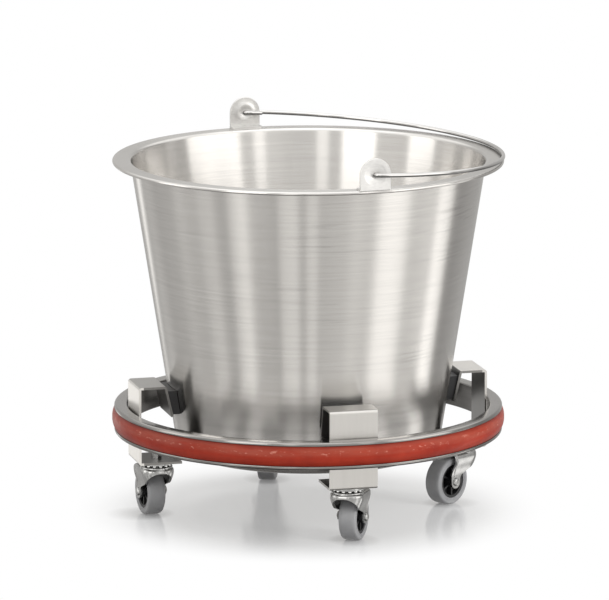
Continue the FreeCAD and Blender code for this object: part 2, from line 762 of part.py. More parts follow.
def make_fork(label):
    """Stamped fork: a bent sheet seen from the front, cut to its side view and to its plan."""
    thick = S["crown_sheet"]
    half = S["crown_width"] / 2
    axle_z = wheel_radius
    eye = S["fork_eye"]
    trail = S["castor_trail"]
    foot = axle_z - eye
    waist = S["castor_height"] - S["fork_waist_drop"]
    shoulder = S["castor_height"] - S["fork_shoulder_drop"]

    bent = new_body(label + "_bent")
    front_view = new_sketch(bent, "YZ_Plane", label + "_front_view")
    outside = [
        (fork_half_width, foot - S["cutter_reach"]),
        (fork_half_width, waist, S["fork_joggle"]),
        (half, shoulder, S["fork_joggle"]),
        (half, crown_z, S["fork_bend"]),
    ]
    inside = [
        (-fork_inner_half_width, foot - S["cutter_reach"]),
        (-fork_inner_half_width, waist, S["fork_joggle"]),
        (-half + thick, shoulder, S["fork_joggle"]),
        (-half + thick, crown_underside, S["fork_bend"] - thick),
    ]
    outline(front_view, mirrored(outside) + mirrored(inside))
    extrude(bent, front_view, label + "_front_solid", 6 * half, symmetric=True)

    cut = new_body(label + "_side")
    side_view = new_sketch(cut, "XZ_Plane", label + "_side_view")
    outline(side_view, [
        (-half, crown_z),
        (-half, S["castor_height"] - S["fork_front_drop"], S["fork_front_round"]),
        (trail - eye, axle_z + S["fork_toe"], S["fork_edge_round"]),
        (trail - eye, foot, eye - HAIR),
        (trail + eye, foot, eye - HAIR),
        (trail + eye, axle_z + S["fork_heel"], S["fork_edge_round"]),
        (S["fork_tail"], S["castor_height"] - S["fork_rear_drop"], S["fork_edge_round"]),
        (S["fork_tail"], crown_z),
    ])
    extrude(cut, side_view, label + "_side_solid", 4 * half, symmetric=True)

    def plan_outline(sketch, inset):
        """The fork from above: round at the nose, with its sides carried back past the axle."""
        outline(sketch, [
            (-half + inset, -half + inset, S["fork_nose_round"] - inset),
            (trail + eye - inset, -half + inset, S["fork_tail_round"] - inset),
            (trail + eye - inset, half - inset, S["fork_tail_round"] - inset),
            (-half + inset, half - inset, S["fork_nose_round"] - inset),
        ])

    plan = new_body(label + "_plan")
    plan_view = new_sketch(plan, "XY_Plane", label + "_plan_view")
    plan_outline(plan_view, ZERO)
    extrude(plan, plan_view, label + "_plan_solid", S["castor_height"])

    skirt = new_body(label + "_skirt")
    skirt_view = new_sketch(skirt, "XY_Plane", label + "_skirt_view", crown_underside - S["fork_skirt"])
    plan_outline(skirt_view, ZERO)
    plan_outline(skirt_view, thick)
    extrude(skirt, skirt_view, label + "_skirt_wall", S["fork_skirt"] + thick / 2)

    drawn = doc.addObject("Part::MultiFuse", label + "_drawn")
    drawn.Shapes = [bent, skirt]
    stamped = doc.addObject("Part::MultiCommon", label + "_stamped")
    stamped.Shapes = [drawn, cut, plan]
    joined_race = doc.addObject("Part::MultiFuse", label + "_with_race")
    joined_race.Shapes = [stamped, make_lower_race(label + "_race")]
    stud_hole = doc.addObject("Part::Cylinder", label + "_stud_hole")
    bind(stud_hole, "Radius", stud_radius + S["stud_play"])
    bind(stud_hole, "Height", S["castor_height"])
    axle_hole = doc.addObject("Part::Cylinder", label + "_axle_hole")
    axle_hole.Placement.Rotation = FreeCAD.Rotation(FreeCAD.Vector(1, 0, 0), 90)
    bind(axle_hole, "Radius", axle_radius + S["axle_fit"])
    bind(axle_hole, "Height", 4 * half)
    bind(axle_hole, "Placement.Base.x", trail + ZERO)
    bind(axle_hole, "Placement.Base.y", 2 * half)
    bind(axle_hole, "Placement.Base.z", axle_z + ZERO)
    holes = doc.addObject("Part::MultiFuse", label + "_holes")
    holes.Shapes = [stud_hole, axle_hole]
    fork = doc.addObject("Part::Cut", label)
    fork.Base = joined_race
    fork.Tool = holes
    return fork


def axle_lathe(label, corners):
    """A body turned about Y from corners given as (along the axle, radius)."""
    body = new_body(label)
    sketch = new_sketch(body, "YZ_Plane", label + "_profile")
    outline(sketch, corners)
    revolve(body, sketch, label + "_turned", axis="H_Axis")
    return body


def make_axle_bolt(label):
    seat = fork_half_width + S["axle_seat_gap"]
    head = seat + S["axle_head_height"]
    end = -seat - S["axle_nut_height"] - S["axle_end"]
    return axle_lathe(label, [
        (end, 0),
        (head, 0),
        (head, S["axle_head"] / 2, S["axle_head_height"] - HAIR),
        (seat, S["axle_head"] / 2),
        (seat, axle_radius),
        (end, axle_radius, S["axle_end"] / 2),
    ])


def make_axle_nut(label):
    body = new_body(label)
    flats = new_sketch(body, "XZ_Plane", label + "_outline", fork_half_width + S["axle_seat_gap"])
    hexagon(flats, S["axle_nut_width"])
    circle(flats, 0, 0, axle_radius + S["thread_gap"])
    extrude(body, flats, label + "_blank", S["axle_nut_height"])
    return body


def make_hub(label):
    bore = bush_radius + S["bush_seat_gap"]
    boss = S["hub_boss_radius"]
    rim_inner = hub_radius - S["hub_rim"]
    rim_half = S["wheel_width"] / 2 - S["hub_inset"]
    web = S["hub_web"] / 2
    fillet = S["hub_fillet"]
    boss_half = boss_half_length - S["bush_stand"]
    body = axle_lathe(label, [
        (-boss_half, bore),
        (boss_half, bore),
        (boss_half, boss),
        (web, boss, fillet),
        (web, rim_inner, fillet),
        (rim_half, rim_inner),
        (rim_half, hub_radius),
        (-rim_half, hub_radius),
        (-rim_half, rim_inner),
        (-web, rim_inner, fillet),
        (-web, boss, fillet),
        (-boss_half, boss),
    ])
    ribs = new_sketch(body, "XZ_Plane", label + "_rib_section")
    start = boss - S["rib_bite"]
    end = rim_inner + S["rib_bite"]
    half = S["rib_thickness"] / 2
    for step in range(int(number(S["rib_count"]))):
        angle = FULL_TURN * (step + 0.5) / number(S["rib_count"])
        corners = []
        for along, across in ((start, -half), (end, -half), (end, half), (start, half)):
            corners.append((along * cosine(angle) - across * sine(angle),
                            along * sine(angle) + across * cosine(angle)))
        outline(ribs, corners)
    extrude(body, ribs, label + "_ribs", 2 * rim_half - S["hub_inset"], symmetric=True)
    return body


def make_tyre(label):
    half = S["wheel_width"] / 2
    inner = hub_radius + S["tyre_seat_gap"]
    return axle_lathe(label, [
        (-half, inner, S["tyre_bead_round"]),
        (half, inner, S["tyre_bead_round"]),
        (half, wheel_radius, S["tread_corner"]),
        (-half, wheel_radius, S["tread_corner"]),
    ])


def make_bush(label):
    inner = axle_radius + S["bush_play"]
    return axle_lathe(label, [
        (-boss_half_length, inner),
        (boss_half_length, inner),
        (boss_half_length, bush_radius),
        (-boss_half_length, bush_radius),
    ])


# ---------------------------------------------------------------- assembly

def turn(piece, angle):
    piece.Placement.Rotation = FreeCAD.Rotation(FreeCAD.Vector(0, 0, 1), number(angle))


def place(piece, x, y, z, angle):
    turn(piece, angle)
    bind(piece, "Placement.Base.x", x + ZERO)
    bind(piece, "Placement.Base.y", y + ZERO)
    bind(piece, "Placement.Base.z", z + ZERO)


pieces = [make_pail()]
for name, heading in (("ear_front", -180.0), ("ear_rear", 0.0)):
    ear = make_ear(name)
    turn(ear, heading + S["ear_turn"])
    pieces.append(ear)

bail = make_bail()
tilt = math.degrees(math.asin(number(bail_drop / bail_reach)))
fold = FreeCAD.Rotation(FreeCAD.Vector(0, 1, 0), tilt)
heading = FreeCAD.Rotation(FreeCAD.Vector(0, 0, 1), number(S["ear_turn"]))
bail.Placement.Rotation = heading.multiply(fold)
bind(bail, "Placement.Base.z", pivot_z)
pieces.append(bail)

pieces.append(make_ring())
pieces.append(make_bumper())

for name, leg_angle, swivel, head_side in CASTORS:
    for make, kind in ((make_leg, "leg_"), (make_pad, "pad_")):
        piece = make(kind + name)
        turn(piece, leg_angle)
        pieces.append(piece)
    stem_x = swivel_radius * cosine(leg_angle)
    stem_y = swivel_radius * sine(leg_angle)
    for make, kind in (
        (make_stud, "castor_stud_"),
        (make_nut, "castor_nut_"),
        (make_upper_race, "upper_race_"),
        (make_balls, "race_balls_"),
        (make_fork, "fork_"),
    ):
        piece = make(kind + name)
        place(piece, stem_x, stem_y, ZERO, swivel)
        pieces.append(piece)
    wheel_x = stem_x + S["castor_trail"] * cosine(swivel)
    wheel_y = stem_y + S["castor_trail"] * sine(swivel)
    facing = swivel if head_side > 0 else swivel + 180.0
    for make, kind in (
        (make_axle_bolt, "axle_bolt_"),
        (make_axle_nut, "axle_nut_"),
        (make_hub, "wheel_hub_"),
        (make_tyre, "tyre_"),
        (make_bush, "hub_bush_"),
    ):
        piece = make(kind + name)
        place(piece, wheel_x, wheel_y, wheel_radius, facing)
        pieces.append(piece)

doc.recompute()

# ---------------------------------------------------------------- checks and export

for item in doc.Objects:
    if "Invalid" in item.State or "Error" in item.State:
        raise RuntimeError("%s did not rebuild: %s" % (item.Label, item.State))
for piece in pieces:
    if piece.Shape.isNull() or not piece.Shape.isValid():
        raise RuntimeError("%s has no valid shape" % piece.Label)

os.makedirs("parts", exist_ok=True)
for piece in pieces:
    piece.Shape.exportStep("parts/%s.step" % piece.Label)
print("pieces written:", len(pieces))
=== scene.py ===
import math

import bmesh
import bpy
from mathutils import Matrix, Vector


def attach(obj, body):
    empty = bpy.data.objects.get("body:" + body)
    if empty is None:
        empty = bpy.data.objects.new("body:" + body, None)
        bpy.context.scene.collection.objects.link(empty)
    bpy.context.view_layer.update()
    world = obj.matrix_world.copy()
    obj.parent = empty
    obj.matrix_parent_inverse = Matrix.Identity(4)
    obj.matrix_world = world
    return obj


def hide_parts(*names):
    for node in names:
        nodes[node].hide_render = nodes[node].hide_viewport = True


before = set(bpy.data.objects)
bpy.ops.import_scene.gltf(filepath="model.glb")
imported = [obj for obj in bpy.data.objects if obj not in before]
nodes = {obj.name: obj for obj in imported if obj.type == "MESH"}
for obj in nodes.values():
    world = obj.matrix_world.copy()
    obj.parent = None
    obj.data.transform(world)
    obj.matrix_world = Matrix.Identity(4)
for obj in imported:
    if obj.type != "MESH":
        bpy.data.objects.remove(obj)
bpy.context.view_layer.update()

# ------------------------------------------------------------------ sizes, in metres

RIM_RADIUS = 0.165
RIM_Z = 0.303
BEAD = 0.0015                # radius of the rim's rounded edge
WALL_TOP = 0.1503            # outer radius of the wall where it meets the rim
WALL_ANGLE = math.radians(9.0)
SHEET = 0.001
BASE_Z = 0.054
PIVOT_Z = 0.316              # of the bail's hinge
EAR_TURN = math.radians(5.2)
RING_Z = 0.070
RING_TOP = 0.0934


def wall(z):
    """Outer radius of the pail's wall at a height."""
    return WALL_TOP - (RIM_Z - z) * math.tan(WALL_ANGLE)


# ------------------------------------------------------------------ shader helpers

def linear(*srgb):
    """Linear colour of an sRGB colour from 0 to 255."""
    out = []
    for value in srgb:
        c = value / 255
        out.append(c / 12.92 if c <= 0.04045 else ((c + 0.055) / 1.055) ** 2.4)
    return (*out, 1.0)


def times(colour, share):
    """A colour made darker or brighter."""
    return tuple(value * share for value in colour[:3]) + (1,)


class Shader:
    """A material, or the world, whose nodes are added and wired by short calls."""

    def __init__(self, name, world=None):
        self.material = world or bpy.data.materials.new(name)
        self.material.use_nodes = True
        self.tree = self.material.node_tree
        self.tree.nodes.clear()
        self.output = self.add("ShaderNodeOutputWorld" if world else "ShaderNodeOutputMaterial")

    def add(self, kind, inputs=None, **settings):
        node = self.tree.nodes.new(kind)
        for key, value in settings.items():
            setattr(node, key, value)
        for key, value in (inputs or {}).items():
            self.set(node.inputs[key], value)
        return node

    def set(self, socket, value):
        if isinstance(value, bpy.types.NodeSocket):
            self.tree.links.new(value, socket)
        elif isinstance(value, bpy.types.Node):
            self.tree.links.new(value.outputs[0], socket)
        else:
            socket.default_value = value

    def principled(self, **inputs):
        node = self.add("ShaderNodeBsdfPrincipled")
        for key, value in inputs.items():
            self.set(node.inputs[key.replace("_", " ")], value)
        self.tree.links.new(node.outputs[0], self.output.inputs["Surface"])
        return node

    def place(self, scale=(1, 1, 1)):
        where = self.add("ShaderNodeTexCoord")
        return self.add("ShaderNodeMapping", {"Vector": where.outputs["Object"], "Scale": scale})

    def noise(self, scale, detail=3.0, rough=0.5, stretch=(1, 1, 1)):
        return self.add("ShaderNodeTexNoise", {"Vector": self.place(stretch), "Scale": scale,
                                               "Detail": detail, "Roughness": rough})

    def ramp(self, fac, stops):
        node = self.add("ShaderNodeValToRGB", {"Fac": fac})
        ramp = node.color_ramp
        while len(ramp.elements) < len(stops):
            ramp.elements.new(0.5)
        for element, (at, value) in zip(ramp.elements, stops):
            element.position = at
            element.color = value if isinstance(value, tuple) else (value, value, value, 1)
        return node

    def span(self, value, low, high):
        return self.add("ShaderNodeMapRange", {"Value": value, "To Min": low, "To Max": high}).outputs[0]

    def mix(self, fac, a, b, blend="MIX"):
        node = self.add("ShaderNodeMix", data_type="RGBA", blend_type=blend)
        self.set(node.inputs[0], fac)
        self.set(node.inputs[6], a)
        self.set(node.inputs[7], b)
        return node.outputs[2]

    def bump(self, height, strength, distance):
        return self.add("ShaderNodeBump", {"Height": height, "Strength": strength,
                                           "Distance": distance}).outputs[0]

    def geometry(self, kind):
        """Position or Normal."""
        return self.add("ShaderNodeNewGeometry").outputs[kind]

    def vector(self, operation, first, second=None):
        inputs = {0: first} if second is None else {0: first, 1: second}
        return self.add("ShaderNodeVectorMath", inputs, operation=operation)

    def number(self, operation, first, second):
        return self.add("ShaderNodeMath", {0: first, 1: second}, operation=operation).outputs[0]

    def flat_place(self):
        """The place seen from above: its position with no height."""
        return self.vector("MULTIPLY", self.geometry("Position"), (1, 1, 0))

    def upward(self):
        """How far a face looks up, from -1 to 1."""
        return self.add("ShaderNodeSeparateXYZ", {0: self.geometry("Normal")}).outputs["Z"]

    def outward(self):
        """How far a face looks away from the pail's axis, from -1 to 1."""
        spoke = self.vector("NORMALIZE", self.flat_place())
        return self.vector("DOT_PRODUCT", spoke, self.geometry("Normal")).outputs["Value"]

    def towards(self, degrees):
        """How far a place lies towards a direction from the pail's axis, from -1 to 1."""
        spoke = self.vector("NORMALIZE", self.flat_place())
        way = (math.cos(math.radians(degrees)), math.sin(math.radians(degrees)), 0)
        return self.vector("DOT_PRODUCT", spoke, way).outputs["Value"]

    def height(self):
        return self.add("ShaderNodeSeparateXYZ", {0: self.geometry("Position")}).outputs["Z"]

    def radius(self):
        return self.vector("LENGTH", self.flat_place()).outputs["Value"]

    def step(self, value, start, end, low=0.0, high=1.0):
        """A soft step from low to high as the value goes from start to end."""
        return self.add("ShaderNodeMapRange", {"Value": value, "From Min": start, "From Max": end,
                                               "To Min": low, "To Max": high},
                        interpolation_type="SMOOTHSTEP").outputs[0]

    def times(self, colour, level):
        return self.mix(1.0, colour, level, "MULTIPLY")


# the way the pail's most scuffed side looks, in degrees from +X
SCUFFED_SIDE = -72


def brushed_steel(name, tint, along, rough, streaks, shade, spun=0.0):
    """Steel whose fine scratches run at right angles to the axis with the large stretch. A shade is a
    function that changes its colour from place to place. Spun is how much the gloss stretches."""
    s = Shader(name)
    hair = s.noise(16.0, 6.0, 0.65, along)
    broad = s.noise(5.0, 3.0, 0.5, along)
    cloud = s.noise(9.0, 3.0, 0.5)
    streak = s.mix(0.3, hair.outputs[0], broad.outputs[0])
    lines = s.ramp(streak, [(0.34, 0.0), (0.66, 1.0)])
    colour = s.mix(lines, times(tint, 1 - streaks), times(tint, 1 + streaks))
    colour = s.mix(s.span(cloud, 0.0, 0.10), colour, (0.42, 0.40, 0.37, 1))
    inputs = {"Metallic": 1.0, "Roughness": s.span(streak, *rough), "Normal": s.bump(hair, 0.05, 0.0004)}
    if spun:
        scuff = s.noise(14.0, 4.0, 0.6, (1, 1, 24))
        patch = s.noise(7.0, 1.0, 0.5, (1, 1, 1.2))
        most = s.ramp(patch, [(0.42, 0.12), (0.60, 0.40)])
        side = s.times(most, s.step(s.towards(SCUFFED_SIDE), 0.70, 0.94, 0.25, 1.0))
        marks = s.times(s.ramp(scuff, [(0.56, 0.0), (0.66, 1.0)]), side)
        colour = s.mix(marks, colour, times(tint, 0.6))
        tangent = s.add("ShaderNodeTangent", direction_type="RADIAL", axis="Z")
        inputs.update(Anisotropic=spun, Anisotropic_Rotation=0.25, Tangent=tangent)
    s.principled(Base_Color=shade(s, colour), **inputs)
    return s.material


def satin_steel(name, tint):
    """Pressed sheet with a dull, even face that scatters part of the light."""
    s = Shader(name)
    grain = s.noise(260.0, 4.0, 0.6, (1, 1, 3))
    colour = s.mix(s.ramp(grain, [(0.35, 0.0), (0.65, 1.0)]), times(tint, 0.9), tint)
    s.principled(Base_Color=colour, Metallic=0.6, Roughness=s.span(grain, 0.26, 0.36),
                 Normal=s.bump(grain, 0.05, 0.0002))
    return s.material


def rubber(name, tint, worn, rough=(0.38, 0.55), grain=0.15):
    """Moulded rubber or plastic in two close colours, with a fine grain."""
    s = Shader(name)
    mottled = s.noise(60.0, 5.0, 0.6)
    fine = s.noise(900.0, 2.0, 0.5)
    colour = s.mix(s.ramp(mottled, [(0.35, 0.0), (0.70, 1.0)]), tint, worn)
    s.principled(Base_Color=colour, Roughness=s.span(mottled, *rough), Normal=s.bump(fine, grain, 0.0003))
    return s.material


def bumper_rubber(name):
    """Red rubber with painted shade darker towards its edges, a paler painted sheen in patches over its
    upper half, and a broken line of painted highlights above the middle."""
    s = Shader(name)
    edge = 0.003
    share = s.add("ShaderNodeMapRange", {"Value": s.height(), "From Min": RING_Z + edge,
                                         "From Max": RING_TOP - edge})
    mottled = s.noise(45.0, 5.0, 0.6)
    lumps = s.noise(70.0, 2.0, 0.5, (1, 1, 2.5))
    glint_noise = s.noise(170.0, 4.0, 0.7, (1, 1, 2))
    body = s.mix(s.ramp(mottled, [(0.35, 0.0), (0.68, 1.0)]), linear(163, 48, 26), linear(143, 38, 21))
    # painted shade: darker towards the lower and upper edges
    edge_shade = s.ramp(share, [(0.0, 0.50), (0.10, 0.82), (0.35, 1.0), (0.78, 1.0), (0.90, 0.72), (1.0, 0.60)])
    body = s.times(body, edge_shade)
    # painted sheen: paler patches over the upper half
    painted_sheen = s.times(s.ramp(share, [(0.42, 0.0), (0.60, 1.0), (0.86, 1.0), (0.96, 0.2)]),
                    s.ramp(s.noise(26.0, 3.0, 0.6, (1, 1, 5)), [(0.35, 0.10), (0.65, 0.62)]))
    body = s.mix(painted_sheen, body, linear(166, 84, 67))
    # a broken line of painted highlights above the middle
    line = s.ramp(share, [(0.50, 0.0), (0.60, 1.0), (0.72, 1.0), (0.82, 0.0)])
    spots = s.times(s.ramp(glint_noise, [(0.57, 0.0), (0.66, 0.75)]), line)
    s.principled(Base_Color=s.mix(spots, body, linear(212, 140, 122)), Specular_IOR_Level=0.2,
                 Roughness=s.span(mottled, 0.26, 0.4), Normal=s.bump(lumps, 0.35, 0.0012))
    return s.material


def plated(name, tint, rough, spots, under=1.0):
    """Bright plate with a slight cloudiness, which can have painted shade, darker where it faces down."""
    s = Shader(name)
    cloud = s.noise(140.0, 4.0, 0.6)
    colour = s.mix(s.ramp(cloud, [(0.35, 0.0), (0.65, 1.0)]), times(tint, 1 - spots), tint)
    if under < 1.0:
        # painted shade where the plate faces down
        colour = s.times(colour, s.step(s.upward(), -0.35, 0.30, under, 1.0))
    s.principled(Base_Color=colour, Metallic=1.0, Roughness=s.span(cloud, *rough),
                 Normal=s.bump(cloud, 0.04, 0.0003))
    return s.material


def pail_shade(s, colour):
    """The wall catches the ring's light just over it, and is dark down inside it."""
    levels = [(0.085, 0.78), (0.092, 0.78), (0.099, 1.10), (0.106, 1.40), (0.113, 1.40), (0.120, 1.28),
              (0.128, 1.12), (0.145, 1.0)]
    most = max(level for z, level in levels)
    margin = 0.001
    low, high = levels[0][0] - margin, levels[-1][0] + margin
    share = s.add("ShaderNodeMapRange", {"Value": s.height(), "From Min": low, "From Max": high})
    ramp = s.ramp(share, [((z - low) / (high - low), level / most) for z, level in levels])
    return s.times(s.times(colour, ramp), (most, most, most, 1))


def ring_shade(s, colour):
    """Darker inside and under."""
    colour = s.times(colour, s.step(s.outward(), -0.6, -0.2, 0.6, 1.0))
    return s.times(colour, s.step(s.upward(), -0.6, 0.2, 0.45, 1.0))


def leg_steel(name, top, face=1.0):
    """Steel of a leg with painted shade: darker within the bend, on the edges further in than the upright
    and on the base plate. Top and face are the painted light levels of the top plate and of the upright's
    outer face."""
    def shade(s, colour):
        sides = s.step(s.radius(), 0.1488, 0.1494, 0.40, face)
        plates = s.step(s.height(), 0.060, 0.064, 0.30, top)
        level = s.mix(s.step(s.upward(), 0.6, 0.95), sides, plates)
        colour = s.times(colour, s.step(s.outward(), -0.6, -0.2, 0.16, 1.0))
        return s.times(colour, level)

    return brushed_steel(name, (0.68, 0.665, 0.64, 1), (12, 12, 1), (0.26, 0.32), 0.03, shade)


PAIL_STEEL = brushed_steel("pail_spun_steel", (0.68, 0.665, 0.645, 1), (1, 1, 90), (0.19, 0.24), 0.06,
                           pail_shade, 0.97)
RING_STEEL = brushed_steel("ring_rolled_steel", (0.33, 0.32, 0.31, 1), (1, 1, 40), (0.14, 0.2), 0.10,
                           ring_shade, 0.4)
# lit and shaded copies of one steel: painted shade on the front and rear tops, painted light on the right
# top and left face
LEG_STEELS = {"front": leg_steel("leg_bent_steel", 0.62), "right": leg_steel("leg_steel_painted_lit_top", 1.35),
              "left": leg_steel("leg_left_steel", 0.62, 1.38)}
LEG_STEELS["rear"] = LEG_STEELS["front"]
EAR_STEEL = satin_steel("ear_satin_steel", (0.74, 0.73, 0.71, 1))
# the wire has painted shade on its underside
WIRE = plated("bail_bright_wire", (0.66, 0.65, 0.64, 1), (0.07, 0.12), 0.06, 0.25)
ZINC = plated("castor_zinc_plate", (0.50, 0.50, 0.495, 1), (0.14, 0.24), 0.16)
BALL = plated("ball_polished_steel", (0.80, 0.80, 0.79, 1), (0.05, 0.08), 0.03)
BUSH = plated("bush_steel", (0.55, 0.55, 0.54, 1), (0.25, 0.35), 0.12)
BUMPER = bumper_rubber("bumper_red_rubber")
PAD = rubber("pad_black_rubber", linear(26, 26, 27), linear(40, 40, 41))
TYRE = rubber("tyre_grey_rubber", linear(158, 158, 159), linear(144, 144, 146), (0.36, 0.48))
# the same grey rubber with painted light, for the tyres' sides
TYRE_SIDE = rubber("tyre_side_painted_light", linear(188, 188, 189), linear(176, 176, 178), (0.36, 0.48))
HUB = rubber("hub_black_plastic", linear(24, 24, 25), linear(36, 36, 38), (0.32, 0.42), 0.05)


def wear(piece, material):
    piece.data.materials.clear()
    piece.data.materials.append(material)


# ------------------------------------------------------------------ mesh helpers

def finished(name, mesh_data, material, body, *replaced):
    piece = bpy.data.objects.new(name, mesh_data)
    bpy.context.scene.collection.objects.link(piece)
    wear(piece, material)
    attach(piece, body)
    if replaced:
        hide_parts(*replaced)
    return piece


def rounded(corners, steps=6):
    """Closed 2-D loop from corners (x, y) or (x, y, radius), with the roundings as short chords."""
    loop = []
    count = len(corners)
    for i, corner in enumerate(corners):
        here = Vector(corner[:2])
        radius = corner[2] if len(corner) > 2 else 0.0
        if radius <= 0:
            loop.append(here)
            continue
        before = (Vector(corners[i - 1][:2]) - here).normalized()
        after = (Vector(corners[(i + 1) % count][:2]) - here).normalized()
        half = before.angle(after) / 2
        centre = here + (before + after).normalized() * radius / math.sin(half)
        start = here + before * radius / math.tan(half) - centre
        end = here + after * radius / math.tan(half) - centre
        sweep = start.angle_signed(end)
        for step in range(steps + 1):
            spoke = start.copy()
            spoke.rotate(Matrix.Rotation(-sweep * step / steps, 2))
            loop.append(centre + spoke)
    return loop


def arc_points(x, y, radius, start, end, steps):
    """Points of an arc in the plane, its ends included."""
    points = []
    for k in range(steps + 1):
        a = start + (end - start) * k / steps
        points.append(Vector((x + radius * math.cos(a), y + radius * math.sin(a))))
    return points


def turned_to(angle):
    return Matrix.Rotation(angle, 4, "Z")


def meshed(name, bm, place=None, crease=32):
    """The mesh of a closed bmesh, put in its place and shaded smooth up to a crease's angle."""
    bmesh.ops.recalc_face_normals(bm, faces=bm.faces)
    if place:
        bm.transform(place)
    mesh = bpy.data.meshes.new(name)
    bm.to_mesh(mesh)
    bm.free()
    mesh.shade_smooth()
    mesh.set_sharp_from_angle(angle=math.radians(crease))
    return mesh


def lathe(name, loop, material, body, replaced, segments=256, place=None, sides=None):
    """Turn a closed (r, z) loop about Z. Points on the axis close the surface there. Sides are given as
    their material and how far from the middle they start."""
    bm = bmesh.new()
    rings = []
    for r, z in loop:
        if r < 1e-7:
            rings.append([bm.verts.new((0, 0, z))])
            continue
        ring = []
        for k in range(segments):
            a = 2 * math.pi * k / segments
            ring.append(bm.verts.new((r * math.cos(a), r * math.sin(a), z)))
        rings.append(ring)
    for i, low in enumerate(rings):
        high = rings[(i + 1) % len(rings)]
        if len(low) == 1 and len(high) == 1:
            continue
        for k in range(segments):
            n = (k + 1) % segments
            corners = [low[k % len(low)], low[n % len(low)], high[n % len(high)], high[k % len(high)]]
            bm.faces.new(list(dict.fromkeys(corners)))
    if sides:
        for face in bm.faces:
            face.material_index = int(abs(face.calc_center_median().z) > sides[1])
    piece = finished(name, meshed(name, bm, place), material, body, *replaced)
    if sides:
        piece.data.materials.append(sides[0])


# ------------------------------------------------------------------ pail

PANEL_RADIUS = 0.092
PANEL_RISE = 0.002
CORNER = 0.008
MOUTH_BEND = 0.002
BEAD_TAPER = 0.001           # length over which the sheet grows into the rounded edge

bead_line = RIM_RADIUS - BEAD
bead_start = bead_line - BEAD_TAPER
slant = SHEET / math.cos(WALL_ANGLE)
panel_top = PANEL_RADIUS - PANEL_RISE
under = rounded([
    (0.0, BASE_Z + PANEL_RISE),
    (panel_top, BASE_Z + PANEL_RISE, PANEL_RISE),
    (PANEL_RADIUS, BASE_Z, PANEL_RISE),
    (wall(BASE_Z), BASE_Z, CORNER),
    (wall(RIM_Z - SHEET), RIM_Z - SHEET, MOUTH_BEND),
    (bead_start, RIM_Z - SHEET),
])
bead = arc_points(bead_line, RIM_Z - BEAD, BEAD, -math.pi / 2, math.pi / 2, 14)
over = rounded([
    (bead_start, RIM_Z),
    (wall(RIM_Z) - slant, RIM_Z, MOUTH_BEND + SHEET),
    (wall(BASE_Z + SHEET) - slant, BASE_Z + SHEET, CORNER - SHEET),
    (PANEL_RADIUS, BASE_Z + SHEET, PANEL_RISE),
    (panel_top, BASE_Z + PANEL_RISE + SHEET, PANEL_RISE),
    (0.0, BASE_Z + PANEL_RISE + SHEET),
])
lathe("pail_spun", under + bead + over, PAIL_STEEL, "pail", ["pail_shell"], 320)

# ------------------------------------------------------------------ ring and bumper

RING_INSIDE = 0.1534
RING_OUTSIDE = 0.1645
CHANNEL_SHEET = 0.0016
LIP = 0.0032
RING_BEND = 0.0019
LIP_ROUND = 0.0004
BUMPER_PLAY = 0.00015
BUMPER_EDGE = 0.164
BUMPER_FACE = 0.1663
EDGE_ROUND = 0.0005
SHOULDER = 0.0039
BULGE_ROUND = 0.013


def mirrored(half, middle):
    """A closed loop from its lower half, from the inside out, mirrored about a height."""
    return half + [(r, 2 * middle - z, *bend) for r, z, *bend in reversed(half)]


ring_middle = (RING_Z + RING_TOP) / 2
lip_inside = RING_OUTSIDE - CHANNEL_SHEET
channel_floor = RING_Z + CHANNEL_SHEET
ring_half = [
    (RING_INSIDE, RING_Z, RING_BEND),
    (RING_OUTSIDE, RING_Z, RING_BEND),
    (RING_OUTSIDE, RING_Z + LIP, LIP_ROUND),
    (lip_inside, RING_Z + LIP, LIP_ROUND),
    (lip_inside, channel_floor),
    (RING_INSIDE + CHANNEL_SHEET, channel_floor),
]
lathe("ring_rolled", rounded(mirrored(ring_half, ring_middle)), RING_STEEL, "frame", ["ring_channel"])

neck = RING_Z + LIP + BUMPER_PLAY
bumper_half = [
    (RING_INSIDE + CHANNEL_SHEET + BUMPER_PLAY, channel_floor + BUMPER_PLAY),
    (lip_inside - BUMPER_PLAY, channel_floor + BUMPER_PLAY),
    (lip_inside - BUMPER_PLAY, neck),
    (BUMPER_EDGE, neck, EDGE_ROUND),
    (BUMPER_FACE, neck + SHOULDER, BULGE_ROUND),
]
lathe("bumper_strip", rounded(mirrored(bumper_half, ring_middle), 8), BUMPER, "frame", ["bumper"])

# ------------------------------------------------------------------ ears

EAR_FACE = 0.1647
EAR_BACK = 0.1629
EAR_HALF = 0.0135
EAR_EDGE = 0.0004
EAR_HOLE = 0.00185
EAR_LOW = RIM_Z + 0.0003     # the plate's lower edge, within the foot
FOOT_LENGTH = 0.009
FOOT_SHEET = 0.0015
FOOT_ROUND = 0.003
FOOT_END = EAR_FACE - 0.0002


